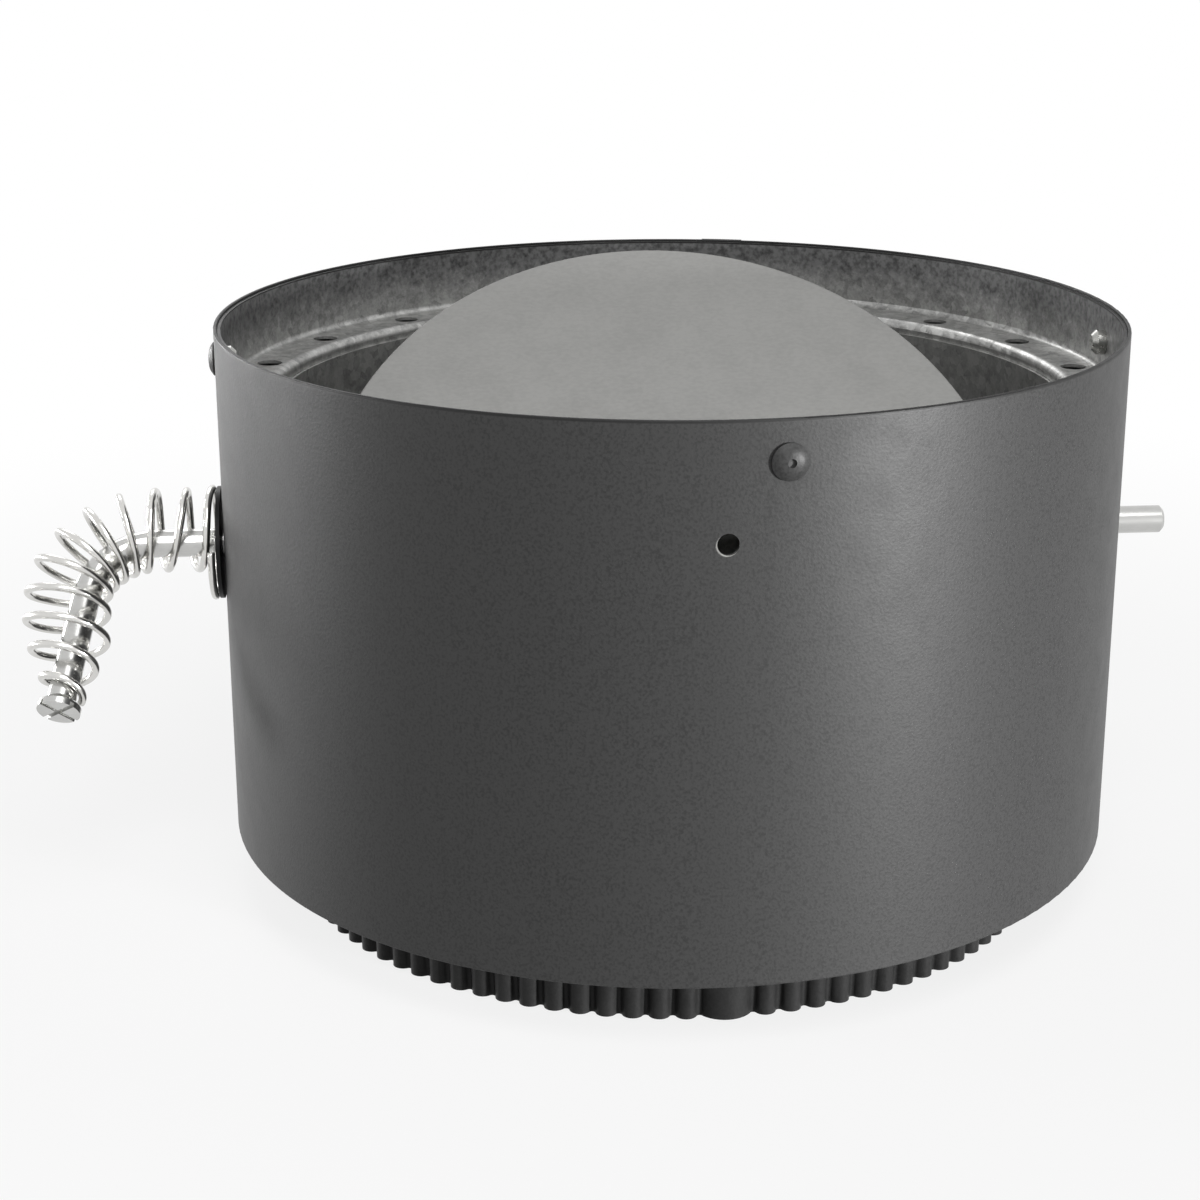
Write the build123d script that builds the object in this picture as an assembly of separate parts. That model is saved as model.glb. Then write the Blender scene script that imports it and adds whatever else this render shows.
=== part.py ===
from build123d import *
import os
from math import ceil, cos, pi, radians, sin, sqrt, tan

# Stove pipe adapter with a damper: a painted outer shell round a bare flue liner, a black crimped
# collar that plugs into the stove's flue outlet, and a disc on a cross rod with a coiled handle.
# Millimetres. The origin is on the flue axis, in the plane of the liner's lower edge, where the
# stove's flue outlet seats. +Z is up the flue, X is along the damper rod, with the handle at -X.
# Angles round the flue start at the front, -Y, and grow towards +X.

# flue liner
flue_bore = 152.4
liner_wall = 0.55
liner_top_drop = 15.6

# outer shell
air_gap = 10.1
shell_wall = 0.65
shell_height = 100.3
shell_edge_round = 0.22
seam_angle = 166.0
seam_width = 9.0
seam_weld_count = 7
seam_weld_diameter = 3.0
seam_weld_depth = 0.25
seam_weld_margin = 14.0
screw_hole_diameter = 3.7
screw_hole_drop = 20.7

# stove collar
collar_wall = 0.6
collar_overlap = 16.0
band_length = 12.0
band_draw_in = 0.6
band_joggle = 1.2
crimp_length = 30.0
crimp_show = 12.4
crimp_lobes = 94
crimp_depth = 1.6
crimp_start_depth = 0.25
crimp_draw_in = 0.5
crimp_notch_share = 0.24
crimp_foot_share = 0.75
seam_lobe_angle = 2.2
seam_lobe_rise = 0.7

# top spacer ring
ring_sheet = 0.6
ring_drop = 12.9
ring_rim_drop = 0.5
ring_outer_bend = 1.5
ring_inner_bend = 1.35
ring_skirt = 10.0
vent_count = 20
vent_diameter = 5.0
vent_inset = 4.65
vent_first_angle = 2.6

# clips that hold the shell off the liner
clip_sheet = 0.8
clip_width = 14.0
clip_foot = 12.0
clip_step = 9.0
clip_pad = 9.0
clip_bend = 2.0
clip_start = 1.0
clip_first_angle = 45.0
clip_names = ("front_right", "rear_right", "rear_left", "front_left")

# blind rivets
rivet_shank = 3.2
rivet_head = 6.4
rivet_head_height = 1.3
rivet_head_rim = 0.35
rivet_head_bulge = 0.25
rivet_tail = 4.9
rivet_tail_tip = 2.9
rivet_tail_length = 2.6
rivet_tail_taper = 1.0
rivet_dimple = 1.5
rivet_dimple_depth = 0.6
shell_rivet_drop = 7.2
shell_rivet_angles = (6.5, 90.0, 186.5, 270.0)
collar_rivet_count = 4
collar_rivet_height = 9.0

# damper disc and the two straps that hold it on the rod
plate_clearance = 7.4
plate_sheet = 1.2
plate_edge_round = 0.3
plate_angle = 40.5
strap_sheet = 1.2
strap_width = 16.0
strap_reach = 14.0
strap_place = 38.0
strap_foot_bend = 1.3
saddle_rivet_spread = 20.0
saddle_rivet_shank = 3.2
saddle_rivet_head = 5.4
saddle_rivet_head_height = 1.1

# damper rod
rod_diameter = 5.5
rod_collar_gap = 4.9
rod_end_reach = 12.8
rod_end_chamfer = 0.6
rod_corner_reach = 24.5
rod_bend = 13.5
rod_turn = 81.0
rod_leg = 37.6
tip_diameter = 8.2
tip_head = 1.2
tip_flare = 1.3
tip_slot_width = 0.9
tip_slot_depth = 0.8

# coiled wire handle
wire_diameter = 1.5
coil_room = 4.15
coil_start_flare = 2.9
coil_end_gap = 0.3
coil_start_turns = 0.75
coil_start_pitch = 0.2
coil_narrowing_turns = 0.5
coil_level_pitch = 5.9
coil_level_turns = 2.1
coil_bend_pitch = 4.75
coil_bend_turns = 4.65
coil_leg_pitch = 6.2
coil_leg_turns = 3.7
coil_taper_turns = 2.3
coil_centring_turns = 4.25
coil_bend = 17.0
coil_shift_level = 3.1
coil_shift_leg = 3.7
coil_lean_level = (0.015, -0.15)
coil_lean_leg = (0.08, 0.19)
coil_start_turn = 45.0
coil_gap = 0.15
coil_spans_per_turn = 4
coil_way_step = 0.0005
coil_report_steps = 1200

# washers and the push-on retainer
handle_washer_diameter = 22.0
handle_washer_sheet = 0.8
stop_washer_diameter = 12.0
stop_washer_sheet = 0.8
retainer_diameter = 11.0
retainer_sheet = 0.5
retainer_dish = 1.0
retainer_collar = 7.4
retainer_slots = 4
retainer_slot_width = 0.9

# clearances
sheet_gap = 0.1
rivet_gap = 0.05
strap_gap = 0.1
hole_gap = 0.35
bore_gap = 0.3
seat_gap = 0.3

# how far a cutter runs through a sheet, and the most of a wall that an edge's rounding takes
cutter_reach = 5.0
round_share = 0.45

# radii
liner_in = flue_bore / 2
liner_out = liner_in + liner_wall
shell_in = liner_out + air_gap
shell_out = shell_in + shell_wall
collar_out = liner_in - sheet_gap
collar_in = collar_out - collar_wall
band_out = collar_out - band_draw_in
band_in = band_out - collar_wall
plate_radius = liner_in - plate_clearance
ring_out = shell_in - sheet_gap
ring_in = liner_out + sheet_gap
rod_radius = rod_diameter / 2
rivet_hole = rivet_shank / 2 + rivet_gap
wire_radius = wire_diameter / 2
coil_radius = rod_radius + coil_room + wire_radius
coil_start_radius = coil_radius + coil_start_flare

# places on the rod
rod_end = shell_out + rod_end_reach
rod_corner = shell_out + rod_corner_reach

# heights
collar_bottom = -(band_length + crimp_length)
shell_bottom = collar_bottom + crimp_show
shell_top = shell_bottom + shell_height
ring_top = shell_top - ring_drop
rod_height = collar_overlap + rod_collar_gap + stop_washer_diameter / 2
shell_rivet_height = shell_top - shell_rivet_drop
clip_rivet_height = clip_start + clip_foot / 2


def polar(radius, angle, height=0.0):
    """A point at an angle round the flue, from the front towards +X."""
    turn = radians(angle)
    return Vector(radius * sin(turn), -radius * cos(turn), height)


def facing(angle, height, radius=0.0):
    """A plane on the flue axis or off it, whose normal points outwards at that angle."""
    normal = polar(1, angle)
    return Plane(origin=normal * radius + Vector(0, 0, height), x_dir=(0, 0, 1), z_dir=normal)


def side_points(points, shift):
    """The polyline's points moved to its left by shift, mitred at the corners."""
    ways = [(b - a).normalized() for a, b in zip(points, points[1:])]
    lefts = [Vector(-way.Y, way.X) for way in ways]
    befores = lefts[:1] + lefts
    afters = lefts + lefts[-1:]
    moved = []
    for point, before, after in zip(points, befores, afters):
        mitre = (before + after) / (1 + before.dot(after))
        moved.append(point + mitre * shift)
    return moved


def folded_sheet(corners, thickness, bends):
    """The section of a folded sheet: its middle line's corners, and each fold's middle radius."""
    points = [Vector(*corner) for corner in corners]
    turns = []
    for a, b, c in zip(points, points[1:], points[2:]):
        turns.append(1 if (b - a).cross(c - b).Z > 0 else -1)
    left = side_points(points, thickness / 2)
    right = side_points(points, -thickness / 2)
    left_bends = [bend - turn * thickness / 2 for bend, turn in zip(bends, turns)]
    right_bends = [bend + turn * thickness / 2 for bend, turn in zip(bends, turns)]
    with BuildSketch() as section:
        with BuildLine():
            FilletPolyline(*left, radius=left_bends)
            FilletPolyline(*right, radius=right_bends)
            Line(left[0], right[0])
            Line(left[-1], right[-1])
        make_face()
    return section.sketch.face()


def turned(section):
    """A section drawn as radius and height, turned round the flue axis."""
    upright = Plane.XZ * section
    return revolve(upright, Axis.Z, 360)


def tube(inner, outer, low, high):
    """A plain tube on the flue axis."""
    ring = Circle(outer) - Circle(inner)
    return Pos(0, 0, low) * extrude(ring, high - low)


def drill(angle, height, radius, reach):
    """A round cutter from the flue axis outwards."""
    return extrude(facing(angle, height) * Circle(radius), reach)


def blind_rivet(angle, height, outside, inside):
    """A blind rivet set from outside: head on the outer face, tail past the inner face."""
    head = outside + rivet_gap
    tail = inside - rivet_gap
    end = tail - rivet_tail_length
    hole = rivet_dimple / 2
    rim = head + rivet_head_rim
    top = head + rivet_head_height
    with BuildSketch() as section:
        with BuildLine():
            Polyline(
                (0, end),
                (rivet_tail_tip / 2, end),
                (rivet_tail / 2, end + rivet_tail_taper),
                (rivet_tail / 2, tail),
                (rivet_shank / 2, tail),
                (rivet_shank / 2, head),
                (rivet_head / 2, head),
                (rivet_head / 2, rim),
            )
            SagittaArc((rivet_head / 2, rim), (hole, top), -rivet_head_bulge)
            Polyline(
                (hole, top),
                (hole, top - rivet_dimple_depth),
                (0, top - rivet_dimple_depth),
                (0, end),
            )
        make_face()
    body = revolve(section.sketch, Axis.Y, 360)
    out = Plane(origin=(0, 0, height), x_dir=(0, 0, 1), z_dir=polar(1, angle).cross(Vector(0, 0, 1)))
    return out * body


def solid_rivet(low, high):
    """A solid rivet along local Z between two faces, with a low dome at each end."""
    radius = saddle_rivet_head / 2
    shank = extrude(Circle(saddle_rivet_shank / 2), high - low + 2 * rivet_gap)
    dome_radius = (radius**2 + saddle_rivet_head_height**2) / (2 * saddle_rivet_head_height)
    dome = Pos(0, 0, saddle_rivet_head_height - dome_radius) * Sphere(dome_radius)
    dome = split(dome, Plane.XY, keep=Keep.TOP)
    body = Pos(0, 0, low - rivet_gap) * shank
    body += Pos(0, 0, high + rivet_gap) * dome
    body += Pos(0, 0, low - rivet_gap) * mirror(dome, Plane.XY)
    return body


def outer_shell():
    """The painted shell: a rolled tube with a spot-welded lap seam and round-edged ends."""
    shell = tube(shell_in, shell_out, shell_bottom, shell_top)
    ends = shell.edges().filter_by(GeomType.CIRCLE)
    shell = fillet(ends, min(shell_edge_round, shell_wall * round_share))
    lap = tube(shell_out, shell_out + shell_wall, shell_bottom, shell_top)
    half = seam_width / 2
    window = Box(seam_width, cutter_reach, shell_height)
    centre = polar(shell_out, seam_angle, (shell_bottom + shell_top) / 2)
    lap = lap & (Pos(*centre) * Rot(0, 0, seam_angle) * window)
    shell += lap
    run = shell_height - 2 * seam_weld_margin
    for index in range(seam_weld_count):
        height = shell_bottom + seam_weld_margin + run * index / (seam_weld_count - 1)
        face = facing(seam_angle, height, shell_out + shell_wall - seam_weld_depth)
        shell -= extrude(face * Circle(seam_weld_diameter / 2), half)
    for angle in (-90, 90):
        shell -= drill(angle, rod_height, rod_radius + hole_gap, 2 * shell_out)
    for angle in shell_rivet_angles:
        shell -= drill(angle, shell_rivet_height, rivet_hole, 2 * shell_out)
    shell -= drill(0, shell_top - screw_hole_drop, screw_hole_diameter / 2, 2 * shell_out)
    return shell


def inner_liner():
    """The flue liner: a thin tube with the rod and rivet holes."""
    liner = tube(liner_in, liner_out, 0, shell_top - liner_top_drop)
    for angle in (-90, 90):
        liner -= drill(angle, rod_height, rod_radius + hole_gap, flue_bore)
    return with_lower_holes(liner)


def collar_rivet_angles():
    """The angles of the rivets that hold the collar in the liner, between the clips."""
    step = 360 / collar_rivet_count
    return [step * index for index in range(collar_rivet_count)]


def clip_angles():
    """The angle of each spacer clip."""
    step = 360 / len(clip_names)
    return [clip_first_angle + step * index for index in range(len(clip_names))]


def with_lower_holes(wall):
    """The wall with the holes of the collar's and the clips' rivets."""
    for angle in collar_rivet_angles():
        wall -= drill(angle, collar_rivet_height, rivet_hole, flue_bore)
    for angle in clip_angles():
        wall -= drill(angle, clip_rivet_height, rivet_hole, flue_bore)
    return wall


def crimp_outline(radius, depth, rise, height):
    """A closed line of lobes and narrow notches, with one wide seam lobe, at a height."""
    lobe = 360 / (crimp_lobes + 2)
    notch = lobe * crimp_notch_share
    start = seam_lobe_angle + lobe
    edges = []
    for index in range(crimp_lobes + 1):
        wide = index == crimp_lobes
        begin = start + lobe * index + notch / 2
        end = start + lobe * (index + (2 if wide else 1)) - notch / 2
        crest = radius + (rise if wide else 0)
        foot = radius - depth * crimp_foot_share
        bottom = radius - depth
        first = polar(foot, begin, height)
        last = polar(foot, end, height)
        after = polar(foot, end + notch, height)
        edges.append(Edge.make_three_point_arc(first, polar(crest, (begin + end) / 2, height), last))
        edges.append(Edge.make_three_point_arc(last, polar(bottom, end + notch / 2, height), after))
    return Wire(edges)


def stove_collar():
    """The black collar: the part in the liner, a plain band, and a crimped end for the stove."""
    crest_low = band_out - crimp_draw_in
    top = -band_length
    outer = Solid.make_loft(
        [
            crimp_outline(band_out, crimp_start_depth, 0, top),
            crimp_outline(crest_low, crimp_depth, seam_lobe_rise, collar_bottom),
        ],
        ruled=True,
    )
    inner = Solid.make_loft(
        [
            crimp_outline(band_in, crimp_start_depth, 0, top),
            crimp_outline(crest_low - collar_wall, crimp_depth, seam_lobe_rise, collar_bottom),
        ],
        ruled=True,
    )
    crimped = outer - inner
    profile = Polyline(
        (collar_out, collar_overlap),
        (collar_out, band_joggle),
        (band_out, 0),
        (band_out, top),
        (band_in, top),
        (band_in, 0),
        (collar_in, band_joggle),
        (collar_in, collar_overlap),
        close=True,
    )
    return with_lower_holes(turned(make_face(profile))) + crimped


def top_spacer_ring():
    """The ring that holds shell and liner apart: rim flange, vented flat and inner skirt."""
    half = ring_sheet / 2
    section = folded_sheet(
        [
            (ring_out - half, shell_top - ring_rim_drop),
            (ring_out - half, ring_top - half),
            (ring_in + half, ring_top - half),
            (ring_in + half, ring_top - ring_skirt),
        ],
        ring_sheet,
        [ring_outer_bend, ring_inner_bend],
    )
    ring = turned(section)
    for index in range(vent_count):
        place = polar(liner_out + vent_inset, vent_first_angle + 360 / vent_count * index, ring_top)
        ring -= Pos(*place) * Cylinder(vent_diameter / 2, cutter_reach)
    for angle in shell_rivet_angles:
        ring -= drill(angle, shell_rivet_height, rivet_hole, 2 * shell_out)
    return ring


def spacer_clip(angle):
    """A folded strip, riveted to the liner, whose pad bears on the inside of the shell."""
    half = clip_sheet / 2
    foot = liner_out + sheet_gap + half
    pad = sqrt((shell_in - sheet_gap) ** 2 - (clip_width / 2) ** 2) - half
    rise = clip_start + clip_foot
    section = folded_sheet(
        [
            (foot, clip_start),
            (foot, rise),
            (pad, rise + clip_step),
            (pad, rise + clip_step + clip_pad),
        ],
        clip_sheet,
        [clip_bend, clip_bend],
    )
    strip = extrude(Plane.XZ * section, clip_width / 2, both=True)
    strip = Rot(0, 0, angle - 90) * strip
    return strip - drill(angle, clip_rivet_height, rivet_hole, 2 * shell_out)


def shell_rivets():
    """The rivets through the shell and the ring's rim flange."""
    inside = ring_out - ring_sheet
    return [blind_rivet(angle, shell_rivet_height, shell_out, inside) for angle in shell_rivet_angles]


def collar_rivets():
    """The rivets that hold the collar in the liner."""
    return [blind_rivet(angle, collar_rivet_height, liner_out, collar_in) for angle in collar_rivet_angles()]


def clip_rivets():
    """The rivets that hold the clips, through liner and collar."""
    outside = liner_out + sheet_gap + clip_sheet
    return [blind_rivet(angle, clip_rivet_height, outside, collar_in) for angle in clip_angles()]


def on_rod(shape):
    """Moves a shape drawn with the disc level and the rod on X to the damper's resting place."""
    return Pos(0, 0, rod_height) * Rot(plate_angle, 0, 0) * shape


plate_low = rod_radius + strap_gap
plate_high = plate_low + plate_sheet
strap_high = plate_low - rivet_gap


def saddle_places():
    """The four rivet places on the disc, two for each strap."""
    spread = saddle_rivet_spread / 2
    return [(x, y) for x in (-strap_place, strap_place) for y in (-spread, spread)]


def damper_plate():
    """The disc, with the holes of its straps' rivets."""
    plate = Pos(0, 0, plate_low) * extrude(Circle(plate_radius), plate_sheet)
    edge_round = min(plate_edge_round, plate_sheet * round_share)
    plate = fillet(plate.edges().filter_by(GeomType.CIRCLE), edge_round)
    for x, y in saddle_places():
        plate -= Pos(x, y, plate_low) * Cylinder(saddle_rivet_shank / 2 + rivet_gap, cutter_reach)
    return plate


def saddle_strap(place):
    """One strap: two feet under the disc and a round arch over the rod."""
    half = strap_sheet / 2
    side = rod_radius + strap_gap + half
    foot = strap_high - half
    section = folded_sheet(
        [
            (-strap_reach, foot),
            (-side, foot),
            (-side, -side),
            (side, -side),
            (side, foot),
            (strap_reach, foot),
        ],
        strap_sheet,
        [strap_foot_bend, side - strap_gap, side - strap_gap, strap_foot_bend],
    )
    strap = extrude(Plane.YZ * section, strap_width / 2, both=True)
    strap = Pos(place, 0, 0) * strap
    for x, y in saddle_places():
        strap -= Pos(x, y, strap_high) * Cylinder(saddle_rivet_shank / 2 + rivet_gap, cutter_reach)
    return strap


def saddle_rivets():
    """The rivets through the disc and its straps."""
    return [Pos(x, y, 0) * solid_rivet(strap_high - strap_sheet, plate_high) for x, y in saddle_places()]


# the handle's directions, with the disc level: along the leg, and square to the rod
handle_down = Vector(0, -1, 0)
handle_way = Vector(-1, 0, 0) * cos(radians(rod_turn)) + handle_down * sin(radians(rod_turn))
handle_side = Vector(-1, 0, 0).cross(handle_down)
handle_corner = Vector(-rod_corner, 0, 0)


def damper_rod():
    """The cross rod, bent down at the handle, with a flared and cross-slotted end."""
    reach = rod_bend * tan(radians(rod_turn / 2))
    start = Vector(rod_end, 0, 0)
    bend_start = handle_corner + Vector(reach, 0, 0)
    bend_end = handle_corner + handle_way * reach
    neck = handle_corner + handle_way * (rod_leg - tip_head - tip_flare)
    path = Wire(
        [
            Edge.make_line(start, bend_start),
            Edge.make_tangent_arc(bend_start, Vector(-1, 0, 0), bend_end),
            Edge.make_line(bend_end, neck),
        ]
    )
    rod = sweep(Plane(origin=start, z_dir=(-1, 0, 0)) * Circle(rod_radius), path=path)
    square_end = rod.edges().filter_by(GeomType.CIRCLE).sort_by(Axis.X)[-1]
    rod = chamfer(square_end, rod_end_chamfer)
    tip = Plane(origin=neck, x_dir=handle_side, z_dir=handle_way)
    flare = Solid.make_cone(rod_radius, tip_diameter / 2, tip_flare, tip)
    head = tip * Pos(0, 0, tip_flare) * extrude(Circle(tip_diameter / 2), tip_head)
    face = tip * Pos(0, 0, tip_flare + tip_head - tip_slot_depth / 2)
    slot = Box(tip_diameter, tip_slot_width, tip_slot_depth)
    cross = face * Rot(0, 0, 45) * (slot + Rot(0, 0, 90) * slot)
    return rod + flare + head - cross


def smooth(share):
    """An S-shaped rise from 0 to 1."""
    share = min(max(share, 0.0), 1.0)
    return share * share * (3 - 2 * share)


handle_washer_out = shell_out + seat_gap + handle_washer_sheet
coil_start = handle_washer_out + coil_gap + wire_radius
coil_turns = coil_level_turns + coil_bend_turns + coil_leg_turns
coil_end_radius = rod_radius + coil_end_gap + wire_radius
coil_arc = radians(rod_turn)

# the coil leans outwards of the rod's bend, so its own corner lies further out than the rod's
coil_corner = rod_corner + coil_shift_leg / sin(coil_arc) - coil_shift_level / tan(coil_arc)
coil_level = coil_corner - coil_bend * tan(coil_arc / 2) - coil_start


def coil_axis(along):
    """A point on the coil's middle line, the ways outwards and ahead, and the share of the bend done."""
    turn = min(max((along - coil_level) / coil_bend, 0.0), coil_arc)
    outward = Vector(-1, 0, 0) * sin(turn) - handle_down * cos(turn)
    ahead = Vector(-1, 0, 0) * cos(turn) + handle_down * sin(turn)
    share = turn / coil_arc
    start = Vector(-coil_start, 0, 0) - handle_down * coil_shift_level
    if along <= coil_level:
        return start - Vector(along, 0, 0), outward, ahead, share
    centre = start - Vector(coil_level, 0, 0) + handle_down * coil_bend
    past = max(along - coil_level - coil_bend * coil_arc, 0.0)
    return centre + outward * coil_bend + handle_way * past, outward, ahead, share


def coil_along(turns):
    """How far along its middle line the coil has come after a number of turns."""
    if turns <= 0:
        return coil_start_pitch * (turns + coil_start_turns)
    level = min(turns, coil_level_turns)
    bend = min(max(turns - coil_level_turns, 0), coil_bend_turns)
    leg = max(turns - coil_level_turns - coil_bend_turns, 0)
    start = coil_start_pitch * coil_start_turns
    return start + coil_level_pitch * level + coil_bend_pitch * bend + coil_leg_pitch * leg


def coil_point(turns):
    """The wire's middle after a number of turns, counted from the top of the first open turn."""
    middle, outward, ahead, share = coil_axis(coil_along(turns))
    narrowing = smooth(turns / coil_narrowing_turns)
    closing = smooth((turns - coil_turns + coil_taper_turns) / coil_taper_turns)
    centring = smooth((turns - coil_turns + coil_centring_turns) / coil_centring_turns)
    radius = coil_start_radius + (coil_radius - coil_start_radius) * narrowing
    radius += (coil_end_radius - coil_radius) * closing
    recentre = coil_shift_level * (1 - narrowing) + coil_shift_leg * centring
    spin = radians(coil_start_turn + 360 * turns)
    square = outward * cos(spin) + handle_side * sin(spin)
    lean_out, lean_side = [a + (b - a) * share for a, b in zip(coil_lean_level, coil_lean_leg)]
    lean = (lean_out * cos(spin) + lean_side * sin(spin)) * narrowing * (1 - closing)
    return middle - outward * recentre + (square + ahead * lean) * radius


def coil_way(turns):
    """The wire's direction there."""
    return (coil_point(turns + coil_way_step) - coil_point(turns - coil_way_step)).normalized()


def tangent_arcs(start, start_way, end, end_way):
    """Two arcs that leave one point and reach another along the given ways."""
    span = end - start
    sum_way = start_way + end_way
    bend = 2 * (1 - start_way.dot(end_way))
    pull = span.dot(sum_way)
    reach = (sqrt(pull**2 + bend * span.dot(span)) - pull) / bend
    first = start + start_way * reach
    second = end - end_way * reach
    middle = (first + second) / 2
    way = (second - first).normalized()
    return [Edge.make_tangent_arc(start, start_way, middle), Edge.make_tangent_arc(middle, way, end)]


def handle_coil():
    """The wire coil: one unbroken tube round the bent end of the rod."""
    total = coil_start_turns + coil_turns
    spans = ceil(total * coil_spans_per_turn)
    counts = [-coil_start_turns + total * index / spans for index in range(spans + 1)]
    edges = []
    for before, after in zip(counts, counts[1:]):
        edges += tangent_arcs(coil_point(before), coil_way(before), coil_point(after), coil_way(after))
    path = Wire(edges)
    start = Plane(origin=coil_point(counts[0]), z_dir=coil_way(counts[0]))
    coil = sweep(start * Circle(wire_radius), path=path)
    report_coil(path, coil)
    return coil


def report_coil(path, coil):
    """Prints the coil's length, volume against section times length, and least gap to itself."""
    steps = coil_report_steps
    half_turn = ceil(steps / 2 / (coil_start_turns + coil_turns))
    points = [path.position_at(index / steps) for index in range(steps + 1)]
    least = min(
        (points[one] - points[other]).length
        for one in range(0, steps, 2)
        for other in range(one + half_turn, min(one + 3 * half_turn, steps + 1))
    )
    plain = path.length * pi * wire_radius**2
    print(f"coil length {path.length:.1f} mm, volume {coil.volume:.1f} of {plain:.1f} mm3")
    print(f"coil least gap to itself {least - wire_diameter:.2f} mm")


def flat_ring(inner, outer, thickness, place):
    """A washer on the rod, from a place on X towards +X."""
    ring = Circle(outer) - Circle(inner)
    return extrude(Plane(origin=(place, 0, 0), z_dir=(1, 0, 0)) * ring, thickness)


def handle_washer():
    """The black washer between the coil and the shell."""
    return flat_ring(
        rod_radius + bore_gap,
        handle_washer_diameter / 2,
        handle_washer_sheet,
        -handle_washer_out,
    )


# the stop washer's face, where its edge is a seat gap short of the liner's round wall
stop_face = -sqrt(liner_in**2 - (stop_washer_diameter / 2) ** 2) + seat_gap


def stop_washer():
    """The washer that bears on the inside of the liner."""
    return flat_ring(rod_radius + bore_gap, stop_washer_diameter / 2, stop_washer_sheet, stop_face)


def rod_retainer():
    """A dished push-on retainer with slotted teeth, which grips the rod behind the stop washer."""
    low = stop_face + stop_washer_sheet + sheet_gap
    grip = rod_radius + rivet_gap
    with BuildSketch() as section:
        with BuildLine():
            Polyline(
                (retainer_diameter / 2, low),
                (retainer_diameter / 2, low + retainer_sheet),
                (retainer_collar / 2, low + retainer_sheet),
                (grip, low + retainer_sheet + retainer_dish),
                (grip, low + retainer_dish),
                (retainer_collar / 2, low),
                close=True,
            )
        make_face()
    body = Rot(0, 0, -90) * revolve(section.sketch, Axis.Y, 360)
    for index in range(retainer_slots):
        turn = 180 / retainer_slots + 360 / retainer_slots * index
        slot = Box(cutter_reach, retainer_slot_width, retainer_collar / 2)
        body -= Rot(turn, 0, 0) * Pos(low, 0, retainer_collar / 4) * slot
    return body


def save(name, shape):
    """Writes one node; a list of solids goes into one file."""
    solids = shape if isinstance(shape, list) else [shape]
    bodies = [solid for item in solids for solid in item.solids()]
    node = bodies[0] if len(bodies) == 1 else Compound(children=bodies)
    export_step(node, f"parts/{name}.step")


def build():
    """Makes every node and writes it to the parts folder."""
    os.makedirs("parts", exist_ok=True)
    save("outer_shell", outer_shell())
    save("inner_liner", inner_liner())
    save("stove_collar", stove_collar())
    save("top_spacer_ring", top_spacer_ring())
    for name, angle in zip(clip_names, clip_angles()):
        save(f"spacer_clip_{name}", spacer_clip(angle))
    save("shell_rivets", shell_rivets())
    save("collar_rivets", collar_rivets())
    save("clip_rivets", clip_rivets())
    save("damper_plate", on_rod(damper_plate()))
    save("left_saddle_strap", on_rod(saddle_strap(-strap_place)))
    save("right_saddle_strap", on_rod(saddle_strap(strap_place)))
    save("saddle_rivets", [on_rod(rivet) for rivet in saddle_rivets()])
    save("damper_rod", on_rod(damper_rod()))
    save("handle_coil", on_rod(handle_coil()))
    save("handle_washer", on_rod(handle_washer()))
    save("stop_washer", on_rod(stop_washer()))
    save("rod_retainer", on_rod(rod_retainer()))


build()
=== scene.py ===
"""The looks of a stove pipe adapter with a disc damper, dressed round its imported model.

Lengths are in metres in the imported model's frame: the origin is on the flue axis, where the stove's outlet
seats, +Z is up the flue, X runs along the damper rod with the handle at -X, and -Y is the front.
"""
from __future__ import annotations

import logging
from dataclasses import dataclass, replace
from enum import Enum
from math import ceil, cos, pi, radians, sin, tan

import bmesh
import bpy
from mathutils import Matrix, Vector


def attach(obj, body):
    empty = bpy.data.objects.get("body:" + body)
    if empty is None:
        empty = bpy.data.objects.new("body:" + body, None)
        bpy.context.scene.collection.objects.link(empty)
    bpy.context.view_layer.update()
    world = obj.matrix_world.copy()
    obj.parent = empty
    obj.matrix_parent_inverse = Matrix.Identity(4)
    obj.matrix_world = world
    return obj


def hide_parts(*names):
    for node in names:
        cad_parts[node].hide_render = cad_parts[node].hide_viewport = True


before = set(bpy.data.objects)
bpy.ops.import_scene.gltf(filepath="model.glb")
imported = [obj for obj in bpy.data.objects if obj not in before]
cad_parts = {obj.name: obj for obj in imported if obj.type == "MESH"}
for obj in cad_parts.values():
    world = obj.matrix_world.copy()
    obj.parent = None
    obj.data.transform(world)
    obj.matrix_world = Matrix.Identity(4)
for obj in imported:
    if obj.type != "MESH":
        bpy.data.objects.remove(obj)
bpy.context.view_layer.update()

log = logging.getLogger("adapter")

MM = 0.001
SHELL_RADIUS = 87.5      # outer radius of the shell, in millimetres

# The sRGB curve: a straight line for the darkest levels, and a power above them.
SRGB_TOP = 255
SRGB_LINE_ENDS = 0.04045
SRGB_LINE_SLOPE = 12.92
SRGB_SHIFT = 0.055
SRGB_POWER = 2.4

# How finely each noise breaks up: a zone's ragged edge, cloudy patches, fine marks and crystal outlines.
EDGE_NOISE = {"Detail": 5.0, "Roughness": 0.7}
CLOUD_NOISE = {"Detail": 4.0, "Roughness": 0.6}
GRAIN_NOISE = {"Detail": 2.0, "Roughness": 0.5}
CRYSTAL_NOISE = {"Detail": 2.0}

# A noise gathers round its middle, so these spans of it are spread over the whole of a pattern.
CLOUD_SPAN = {"From Min": 0.3, "From Max": 0.7}
GRAIN_SPAN = {"From Min": 0.35, "From Max": 0.65}


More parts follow.
